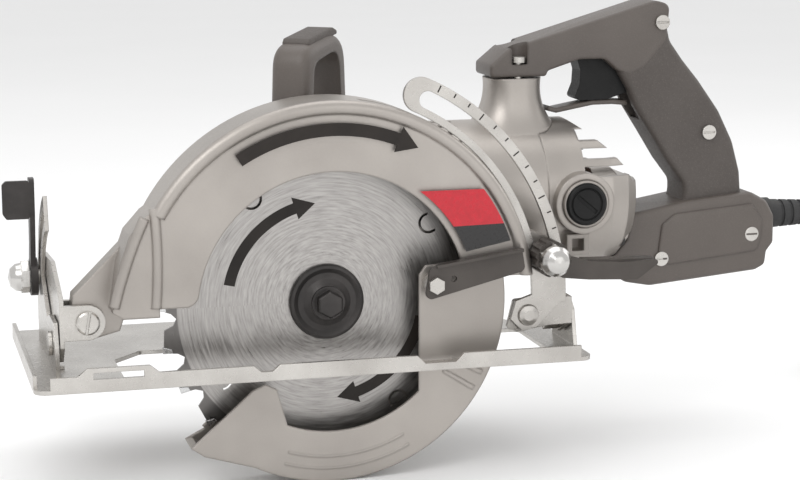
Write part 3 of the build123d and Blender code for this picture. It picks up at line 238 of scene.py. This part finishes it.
webbing = grained("webbing", (0.03, 0.03, 0.032), (0.05, 0.05, 0.052), 0.0, (0.7, 0.9), 1400, 60, 0.5)
taupe = speckled("taupe_plastic", (0.098, 0.083, 0.073), (0.082, 0.069, 0.061), 1500, 0.12, 0.42)
taupe_grip = speckled("taupe_grip", (0.078, 0.067, 0.060), (0.064, 0.054, 0.048), 900, 0.5, 0.6)


def blade_metal():
    """Steel ground in fine circles, darker towards the teeth."""
    made, tree, shader = material("blade_steel", (0.6, 0.6, 0.6), 1.0, 0.3)
    source = node(tree, "ShaderNodeTexCoord")
    move = node(tree, "ShaderNodeVectorMath", operation="SUBTRACT")
    move.inputs[1].default_value = (0, 0, ARBOR_Z * MM)
    tree.links.new(source.outputs["Object"], move.inputs[0])
    parts = node(tree, "ShaderNodeSeparateXYZ")
    tree.links.new(move.outputs[0], parts.inputs[0])
    flat = node(tree, "ShaderNodeCombineXYZ")
    tree.links.new(parts.outputs["X"], flat.inputs["X"])
    tree.links.new(parts.outputs["Z"], flat.inputs["Y"])
    reach = node(tree, "ShaderNodeVectorMath", operation="LENGTH")
    tree.links.new(flat.outputs[0], reach.inputs[0])
    turn = node(tree, "ShaderNodeMath", operation="ARCTAN2")
    tree.links.new(parts.outputs["Z"], turn.inputs[0])
    tree.links.new(parts.outputs["X"], turn.inputs[1])
    lines = node(tree, "ShaderNodeCombineXYZ")
    stretch = node(tree, "ShaderNodeMath", operation="MULTIPLY")
    stretch.inputs[1].default_value = 1.5
    tree.links.new(turn.outputs[0], stretch.inputs[0])
    tree.links.new(stretch.outputs[0], lines.inputs["X"])
    radial = node(tree, "ShaderNodeMath", operation="MULTIPLY")
    radial.inputs[1].default_value = 320.0
    tree.links.new(reach.outputs["Value"], radial.inputs[0])
    tree.links.new(radial.outputs[0], lines.inputs["Y"])
    scratch = noise(tree, lines.outputs[0], 3.0, 5.0, 0.6)
    base = mix(tree, spread(tree, scratch, 0, 1, 0.3, 0.7), (0.27, 0.258, 0.248), (0.47, 0.452, 0.436))
    edge = node(tree, "ShaderNodeMapRange")
    edge.inputs["From Min"].default_value = 0.0808
    edge.inputs["From Max"].default_value = 0.0814
    tree.links.new(reach.outputs["Value"], edge.inputs["Value"])
    tree.links.new(mix(tree, edge.outputs["Result"], base, (0.17, 0.162, 0.156)),
                   shader.inputs["Base Color"])
    tree.links.new(spread(tree, scratch, 0.26, 0.42, 0.3, 0.7), shader.inputs["Roughness"])
    bump(tree, shader, scratch, 0.12, 0.0002)
    return made


LABEL_SPLIT = 0.0735       # height where the label changes colour, in metres


def label_film():
    """Printed film in two colours, one above the other, with no lettering."""
    made, tree, shader = material("label_film", (0.5, 0.02, 0.03), 0.0, 0.3)
    source = node(tree, "ShaderNodeTexCoord")
    parts = node(tree, "ShaderNodeSeparateXYZ")
    tree.links.new(source.outputs["Object"], parts.inputs[0])
    lean = node(tree, "ShaderNodeMath", operation="MULTIPLY_ADD")
    lean.inputs[1].default_value = -0.02
    tree.links.new(parts.outputs["X"], lean.inputs[0])
    tree.links.new(parts.outputs["Z"], lean.inputs[2])
    cut = node(tree, "ShaderNodeMath", operation="GREATER_THAN")
    cut.inputs[1].default_value = LABEL_SPLIT
    tree.links.new(lean.outputs[0], cut.inputs[0])
    grain = noise(tree, source.outputs["Object"], 500)
    red = mix(tree, spread(tree, grain, 0, 1), (0.50, 0.012, 0.025), (0.42, 0.01, 0.02))
    tree.links.new(mix(tree, cut.outputs[0], (0.015, 0.014, 0.014), red), shader.inputs["Base Color"])
    tree.links.new(spread(tree, grain, 0.25, 0.35), shader.inputs["Roughness"])
    return made


copper = wound_copper()
blade_steel = blade_metal()
film = label_film()

made, tree, shader = material("floor", (0.86, 0.86, 0.86), 0.0, 0.7)
tree.links.new(mix(tree, noise(tree, coords(tree), 3.0), (0.88, 0.88, 0.88), (0.85, 0.85, 0.85)),
               shader.inputs["Base Color"])
floor.data.materials.append(made)

FINISH = {
    blade_steel: ["blade"],
    bright: ["carbide_tips", "inner_flange", "arbor_shaft", "armature_shaft", "worm", "arbor_bearings",
             "armature_bearings", "guard_spring", "trigger_spring", "guard_retainer"],
    black_steel: ["outer_flange", "blade_bolt", "housing_screws", "bevel_lever"],
    bronze: ["worm_wheel", "brush_holders"],
    lamination: ["armature_core", "field_stator"],
    copper: ["armature_windings", "commutator", "field_windings"],
    carbon: ["carbon_brushes"],
    cast: ["gear_housing", "gear_case_cover", "motor_housing", "motor_end_bell", "upper_guard",
           "lower_guard"],
    zinc: ["oil_fill_plug", "handle_screws", "front_handle_screws", "depth_bolt", "lift_lever_bolt",
           "depth_arm", "front_bracket", "depth_pivot_screw", "rear_bracket", "bracket_pins",
           "bevel_bolt", "foot", "bevel_quadrant"],
    black_plastic: ["brush_caps", "switch_body", "trigger", "spindle_lock_button", "cooling_fan",
                    "power_plug"],
    taupe: ["handle_left_shell", "handle_right_shell", "trigger_guard_bar"],
    taupe_grip: ["front_handle"],
    rubber: ["strain_relief", "power_cord", "cord_coil"],
    chrome: ["depth_dome_nut", "bevel_dome_nut"],
    dark_steel: ["guard_lift_lever", "depth_lever"],
    film: ["rating_label"],
}
for finish, names in FINISH.items():
    for name in names:
        data = nodes[name].data
        data.materials.clear()
        data.materials.append(finish)


# ---------------------------------------------------------------- ways to build pieces
def put(name, data, body, finish, smooth=40):
    """A finished mesh or curve as a piece of the object."""
    thing = bpy.data.objects.new(name, data)
    bpy.context.scene.collection.objects.link(thing)
    data.materials.clear()
    data.materials.append(finish)
    if smooth and hasattr(data, "polygons"):
        for face in data.polygons:
            face.use_smooth = True
        data.set_sharp_from_angle(angle=math.radians(smooth))
    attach(thing, body)
    return thing


def flatten(thing):
    """Modifiers turned into the object's own mesh."""
    graph = bpy.context.evaluated_depsgraph_get()
    data = bpy.data.meshes.new_from_object(thing.evaluated_get(graph))
    bpy.data.objects.remove(thing)
    return data


def rounded(outline, corner, steps=5):
    """A closed outline with arcs at its corners; corner is one radius or one for each point."""
    made = []
    count = len(outline)
    for place, point in enumerate(outline):
        radius = corner[place] if isinstance(corner, (list, tuple)) else corner
        here = Vector(point)
        back = Vector(outline[place - 1]) - here
        ahead = Vector(outline[(place + 1) % count]) - here
        half = back.angle(ahead) / 2
        reach = min(radius / math.tan(half) if half < 1.56 else 0.0, 0.47 * back.length, 0.47 * ahead.length)
        if reach < 0.05:
            made.append(here)
            continue
        first, last = here + back.normalized() * reach, here + ahead.normalized() * reach
        for step in range(steps + 1):
            t = step / steps
            made.append(first * (1 - t) ** 2 + here * (2 * t * (1 - t)) + last * t ** 2)
    return made


def prism(outline, near, far, edge=0.0, segments=4, axis="Y"):
    """A plate from an outline, its rims rounded; the outline is in XZ, or YZ for axis X, XY for Z."""
    work = bmesh.new()

    def at(point, depth):
        if axis == "Y":
            return mm(point[0], depth, point[1])
        if axis == "X":
            return mm(depth, point[0], point[1])
        return mm(point[0], point[1], depth)

    low = [work.verts.new(at(p, near)) for p in outline]
    high = [work.verts.new(at(p, far)) for p in outline]
    caps = [work.faces.new(low), work.faces.new(high)]
    for a in range(len(outline)):
        b = (a + 1) % len(outline)
        work.faces.new((low[a], low[b], high[b], high[a]))
    bmesh.ops.recalc_face_normals(work, faces=work.faces)
    if edge:
        rims = list({e for cap in caps for e in cap.edges})
        bmesh.ops.bevel(work, geom=rims, offset=edge * MM, segments=segments, profile=0.5,
                        affect="EDGES", clamp_overlap=True)
    data = bpy.data.meshes.new("prism")
    work.to_mesh(data)
    work.free()
    return data


def lathe(profile, place, axis="Y", count=48):
    """A turned mesh from (distance along, radius) points in millimetres."""
    work = bmesh.new()
    rings = []
    for along, radius in profile:
        ring = []
        for step in range(count):
            angle = 2 * math.pi * step / count
            c, n = radius * math.cos(angle), radius * math.sin(angle)
            if axis == "Y":
                spot = (place[0] + c, along, place[1] + n)
            elif axis == "X":
                spot = (along, place[0] + c, place[1] + n)
            else:
                spot = (place[0] + c, place[1] + n, along)
            ring.append(work.verts.new(mm(*spot)))
        rings.append(ring)
    for first, second in zip(rings, rings[1:]):
        for step in range(count):
            nxt = (step + 1) % count
            work.faces.new((first[step], first[nxt], second[nxt], second[step]))
    work.faces.new(rings[0])
    work.faces.new(rings[-1])
    bmesh.ops.remove_doubles(work, verts=work.verts, dist=1e-7)
    bmesh.ops.recalc_face_normals(work, faces=work.faces)
    data = bpy.data.meshes.new("turned")
    work.to_mesh(data)
    work.free()
    return data


def joined(meshes):
    work = bmesh.new()
    for data in meshes:
        work.from_mesh(data)
    out = bpy.data.meshes.new("joined")
    work.to_mesh(out)
    work.free()
    return out


def cut(data, cutters):
    """A mesh less the cutter meshes."""
    base = bpy.data.objects.new("base", data)
    bpy.context.scene.collection.objects.link(base)
    tools = []
    for number, cutter in enumerate(cutters):
        tool = bpy.data.objects.new("tool", cutter)
        bpy.context.scene.collection.objects.link(tool)
        step = base.modifiers.new("cut", "BOOLEAN")
        step.operation = "DIFFERENCE"
        step.solver = "EXACT"
        step.object = tool
        tools.append(tool)
    out = flatten(base)
    for tool in tools:
        bpy.data.objects.remove(tool)
    return out


def nodes_low(name):
    """The near side of a CAD node, in millimetres."""
    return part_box(name)[0][1] / MM


CAP_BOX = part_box("brush_caps")
CAP_X, CAP_Z = ((CAP_BOX[0][k] + CAP_BOX[1][k]) / 2 / MM for k in (0, 2))

# ---------------------------------------------------------------- rear handle
ARM = [(104, 147), (104, 154), (115, 163), (202, 188.5), (211, 186), (210, 175), (209, 165), (196, 150),
       (187, 146), (180, 149), (172, 156), (157, 156), (138, 150), (137, 147)]
GRIP = [(190, 178), (202, 187.6), (210.5, 185.4), (209.6, 175), (212, 165), (220, 154), (230, 142),
        (243, 124), (252, 106), (257, 88), (258, 76), (264, 62), (246, 52), (216, 54), (222, 75),
        (222, 82), (212, 95), (202, 111), (191, 128), (187, 138), (180.5, 149), (178, 160)]
BOX = [(176, 60), (186, 66.5), (224, 73), (262, 76.5), (272, 71), (277, 62), (277, 46), (273, 41),
       (272, 33), (266, 30), (200, 24), (184, 27), (176, 36)]
gate = prism([(151, 157.8), (198.5, 157.8), (198.5, 120), (151, 120)], -7.8, 7.8)
arm = prism(rounded(ARM, [2.5, 2.5, 8, 9, 5, 5, 5, 5, 5, 4, 8, 8, 6, 2]), -15, 15, 3.0)
well = [lathe([(154, 5.6), (175, 5.6)], (121, y), "Z", 32) for y in (-11.5, 11.5)]
arm = cut(arm, [gate] + well)
put("handle_arm", arm, "housing", taupe, 35)
grip = prism(rounded(GRIP, [6, 9, 6, 10, 12, 14, 20, 24, 24, 12, 6, 6, 6, 12, 14, 8, 14, 16, 16, 8, 5, 6], 7),
             -14.8, 14.8, 7.5, 7)
grip = cut(grip, [gate])
put("handle_grip", grip, "housing", taupe_grip, 50)
shell = cut(prism(rounded(BOX, [6, 8, 10, 8, 6, 5, 4, 3, 4, 6, 14, 8, 7]), -20, 20, 4.0, 5),
            [lathe([(120, 43.25), (168.2, 43.25), (178.3, 40.3), (185.4, 33.3), (188.4, 22), (188.4, 0.05)],
                   (0, MOTOR_Z), "X", 96),
             lathe([(262, 7.4), (285, 7.4)], (0, 60), "X", 40)])
put("handle_box", shell, "housing", taupe, 35)
for side in (-1, 1):
    raised = prism(rounded([(206, 60), (214, 66), (262, 70), (269, 60), (268, 50), (266, 42), (210, 36),
                            (204, 44)], 4), side * 19.5, side * 21.3, 1.2, 3)
    put(f"handle_box_panel_{'near' if side < 0 else 'far'}", raised, "housing", taupe, 35)
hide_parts("handle_left_shell")
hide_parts("handle_right_shell")

# ---------------------------------------------------------------- front handle
GRIP_X, GRIP_Y, GRIP_TURN, PAD_TOP = 2.0, -6.0, 52.3, 122.3


def on_grip(data):
    """A shape made across the saw, turned to the front handle's heading."""
    turn = Matrix.Translation(mm(GRIP_X, GRIP_Y, 0)) @ Matrix.Rotation(math.radians(GRIP_TURN), 4, "Z")
    data.transform(turn)
    return data


loop = prism(rounded([(-29.4, PAD_TOP), (-26, 168), (26, 175), (29.4, PAD_TOP)], [0, 15, 19, 0], 8),
             -11, 11, 5.5, 6)
hole = prism(rounded([(-19, PAD_TOP + 5), (-16, 159), (16, 165), (19, PAD_TOP + 5)], [3, 9, 11, 3], 8),
             -14, 14)
put("front_grip", on_grip(cut(loop, [hole])), "housing", taupe, 38)
pad = prism(rounded([(-17, 169.3), (-15, 171.8), (15, 176), (20, 174.2), (20, 172), (-16, 167.4)], 1.2),
            -8.2, 8.2, 1.2, 3)
put("front_grip_tread", on_grip(pad), "housing", taupe_grip, 38)
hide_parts("front_handle")

# ---------------------------------------------------------------- trigger guard bar
BAR = [(141, 127.8), (146, 126.4), (156, 128.2), (168, 130.3), (180, 130.4), (189, 129.4)]


def strip(points, half, near, far, edge):
    """A thin bar along points in the XZ plane, the same thickness all along."""
    upper, lower = [], []
    for place, point in enumerate(points):
        a, b = points[max(place - 1, 0)], points[min(place + 1, len(points) - 1)]
        along = Vector((b[0] - a[0], b[1] - a[1])).normalized()
        upper.append((point[0] - along.y * half, point[1] + along.x * half))
        lower.append((point[0] + along.y * half, point[1] - along.x * half))
    return prism(upper + lower[::-1], near, far, edge, 3)


put("finger_bar", strip(BAR, 1.4, -6.5, 6.5, 0.9), "housing", taupe, 50)
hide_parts("trigger_guard_bar")

# ---------------------------------------------------------------- small parts and generic print
ink = grained("black_ink", (0.014, 0.011, 0.009), (0.024, 0.019, 0.016), 0.0, (0.35, 0.5), 600, 40, 0.03, 0,
              Specular_IOR_Level=0.25)


def ring_band(inner, outer, start, end, near, far, centre=(0.0, ARBOR_Z), steps=40):
    """A flat band along an arc about an axis along Y."""
    angles = [start + (end - start) * step / steps for step in range(steps + 1)]
    outside = [polar(outer, a, *centre) for a in angles]
    inside = [polar(inner, a, *centre) for a in angles[::-1]]
    return prism(outside + inside, near, far)


def arrow(radius, half, start, end, head, near, far):
    """A curved arrow, its point at the end angle."""
    way = 1 if end > start else -1
    neck = end - way * head
    shaft = [start + (neck - start) * step / 24 for step in range(25)]
    outline = [polar(radius + half, a) for a in shaft]
    outline += [polar(radius + 2.1 * half, neck), polar(radius, end), polar(radius - 2.1 * half, neck)]
    return prism(outline + [polar(radius - half, a) for a in shaft[::-1]], near, far)


GUARD_FACE, BLADE_FACE = nodes_low("upper_guard"), nodes_low("blade")
marks = [arrow(96, 3.4, 122, 62, 7, GUARD_FACE - 0.15, GUARD_FACE + 0.1)]
put("guard_arrow", joined(marks), "housing", ink, 0)
marks = [arrow(54, 3.0, 168, 96, 12, BLADE_FACE - 0.12, BLADE_FACE + 0.1),
         arrow(54, 3.0, -12, -84, 12, BLADE_FACE - 0.12, BLADE_FACE + 0.1)]
put("blade_print", joined(marks), "arbor", ink, 0)
ARM_FACE = -67.0           # near side of the depth arm
TICK_R = 130.9             # outer end of its graduations
ticks = []
for number in range(13):
    angle = 12 + 4.2 * number
    reach = 2.4 if number % 3 else 4.0
    ticks.append(ring_band(TICK_R - reach, TICK_R, angle, angle + 0.32, ARM_FACE - 0.12, ARM_FACE + 0.1,
                           steps=2))
plate = [polar(76.6 + 0.2, 53.2 - 31.9 * step / 16) for step in range(17)]
plate += [polar(101.8, 18.8 + 18.3 * step / 10) for step in range(11)]
put("label_plate", prism(plate, GUARD_FACE - 0.35, GUARD_FACE + 0.02), "housing", film, 0)
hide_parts("rating_label")
put("depth_scale_ticks", joined(ticks), "depth_arm", ink, 0)

CAP_FACE = 50.4            # how far the brush caps stand out on each side
caps = []
rims = []
for side in (-1, 1):
    far = CAP_FACE
    rims.append(lathe([(side * (far - 5), 13.3), (side * (far - 0.8), 13.3), (side * (far + 0.3), 12.7),
                       (side * (far + 0.3), 12.0), (side * (far - 0.6), 11.6), (side * (far - 5), 11.6)],
                      (CAP_X, CAP_Z), "Y", 56))
    slot_cut = prism([(CAP_X + x * 0.77 + z * 0.64, CAP_Z - x * 0.64 + z * 0.77)
                      for x, z in ((-7.4, -1.1), (7.4, -1.1), (7.4, 1.1), (-7.4, 1.1))],
                     side * (far + 0.3), side * (far + 2.0))
    caps.append(cut(lathe([(side * (far - 2), 11.4), (side * (far + 0.5), 11.4), (side * (far + 1.2), 10.6),
                           (side * (far + 1.2), 9.3), (side * (far + 0.5), 8.9), (side * (far + 0.5), 8.5),
                           (side * (far + 1.2), 8.1), (side * (far + 1.2), 0.01)],
                          (CAP_X, CAP_Z), "Y", 56), [slot_cut]))
put("brush_cap_rims", joined(rims), "housing", cast, 35)
put("brush_cap_caps", joined(caps), "housing", black_plastic, 35)

# ---------------------------------------------------------------- lead
CORD_D = 9.5
LOW = -62.5 + CORD_D / 2 + 0.2
HIGH = -62.5 + 19.6 - CORD_D / 2 - 0.2
COIL = (434.0, 65.0)
route = [(322, 0, 60), (360, 0, 60), (393, -16, 53), (417, -42, 39.5), (440, -58, 14),
         (464, -58, -15.5), (484, -40, -41.5), (495.5, -8, LOW), (495.5, 30, LOW)]
WIDE, MIDDLE, NARROW = 61.2, 51.6, 42.2
STEPS = 14
# Two turns inwards on the floor, one that climbs, then two and a half outwards on top.
turns = [(WIDE, MIDDLE, LOW, LOW), (MIDDLE, NARROW, LOW, LOW), (NARROW, NARROW, LOW, HIGH),
         (NARROW, MIDDLE, HIGH, HIGH), (MIDDLE, WIDE, HIGH, HIGH)]
for number, (start, end, low, high) in enumerate(turns):
    for step in range(STEPS):
        share = step / STEPS
        angle = 360 * share
        radius = start + (end - start) * share
        level = low + (high - low) * share
        route.append((COIL[0] + radius * math.cos(math.radians(angle)),
                      COIL[1] + radius * math.sin(math.radians(angle)), level))
for step in range(STEPS // 2 + 1):
    angle = 180 * step / (STEPS // 2)
    route.append((COIL[0] + 61.5 * math.cos(math.radians(angle)),
                  COIL[1] + 61.5 * math.sin(math.radians(angle)), HIGH))
route += [(372.5, 42, HIGH), (372.5, 22, HIGH)]


def nurbs(name, points, width):
    data = bpy.data.curves.new(name, "CURVE")
    data.dimensions = "3D"
    data.bevel_depth = width / 2 * MM
    data.bevel_resolution = 6
    data.resolution_u = 10
    data.use_fill_caps = True
    line = data.splines.new("NURBS")
    line.points.add(len(points) - 1)
    for point, place in zip(line.points, points):
        point.co = (*mm(*place), 1)
    line.order_u = 3
    line.use_endpoint_u = True
    thing = bpy.data.objects.new(name, data)
    bpy.context.scene.collection.objects.link(thing)
    return thing


lead = nurbs("mains_lead", route, CORD_D)
lead.data.materials.append(rubber)
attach(lead, "housing")
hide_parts("power_cord", "cord_coil")


def tie_ring(angle, width, thick):
    """A strap round the coil's turns at one angle."""
    low, high, inner, outer = -62.3, -41.6, 36.2, 67.8
    outside = rounded([(inner, low), (outer, low), (outer, high), (inner, high)], 5)
    inside = rounded([(inner + thick, low + 0.1), (outer - thick, low + 0.1), (outer - thick, high - thick),
                      (inner + thick, high - thick)], 4.2)
    work = bmesh.new()
    c, n = math.cos(math.radians(angle)), math.sin(math.radians(angle))
    rings = []
    half = width / 2
    for outline, across in ((outside, -half), (outside, half), (inside, half), (inside, -half)):
        rings.append([work.verts.new(mm(COIL[0] + r * c - across * n, COIL[1] + r * n + across * c, z))
                      for r, z in outline])
    for first, second in zip(rings, rings[1:] + rings[:1]):
        for a in range(len(first)):
            b = (a + 1) % len(first)
            work.faces.new((first[a], first[b], second[b], second[a]))
    bmesh.ops.recalc_face_normals(work, faces=work.faces)
    data = bpy.data.meshes.new("tie")
    work.to_mesh(data)
    work.free()
    return data


put("lead_tie", tie_ring(200, 14, 0.9), "housing", webbing, 35)
